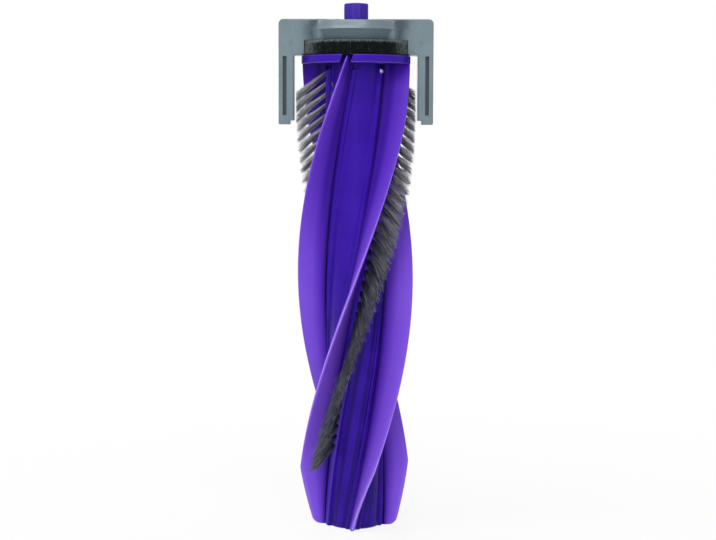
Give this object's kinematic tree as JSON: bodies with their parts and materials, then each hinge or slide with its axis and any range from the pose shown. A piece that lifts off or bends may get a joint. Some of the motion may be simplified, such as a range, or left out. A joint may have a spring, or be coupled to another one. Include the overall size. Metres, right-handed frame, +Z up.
{
  "type": "robot vacuum roller brush",
  "caption": "Helical roller brush with soft fins and bristle tuft rows on a slotted core, a flange, a felt seal and a grey end bracket that carries its drive end.",
  "frame": {"origin": "on the roller's axis, in the plane of the flat free end that it stands on", "axes": "+Z up along the roller's axis to the drive nub, +X along the bracket's width, -Y is the front"},
  "size_m": [0.057, 0.0446, 0.1951],
  "materials": {
    "core": "satin",
    "fin": "satin",
    "bristle": "satin",
    "plug": "satin",
    "bush": "satin",
    "washer": "matte",
    "felt": "matte",
    "bracket": "satin"
  },
  "bodies": {
    "bracket": {"end_bracket": "bracket", "felt_ring": "felt", "bearing_bush": "bush"},
    "roller": {"roller_core": "core", "fin_1": "fin", "fin_2": "fin", "fin_3": "fin", "fin_4": "fin", "tuft_row_1": "bristle", "tuft_row_2": "bristle", "end_plug": "plug", "end_bush": "bush", "thrust_washer": "washer"}
  },
  "joints": [
    {"name": "roller_spin", "type": "hinge", "parent": "bracket", "child": "roller", "pos_m": [0, 0, 0], "axis": [0, 0, 1], "continuous": true}
  ]
}
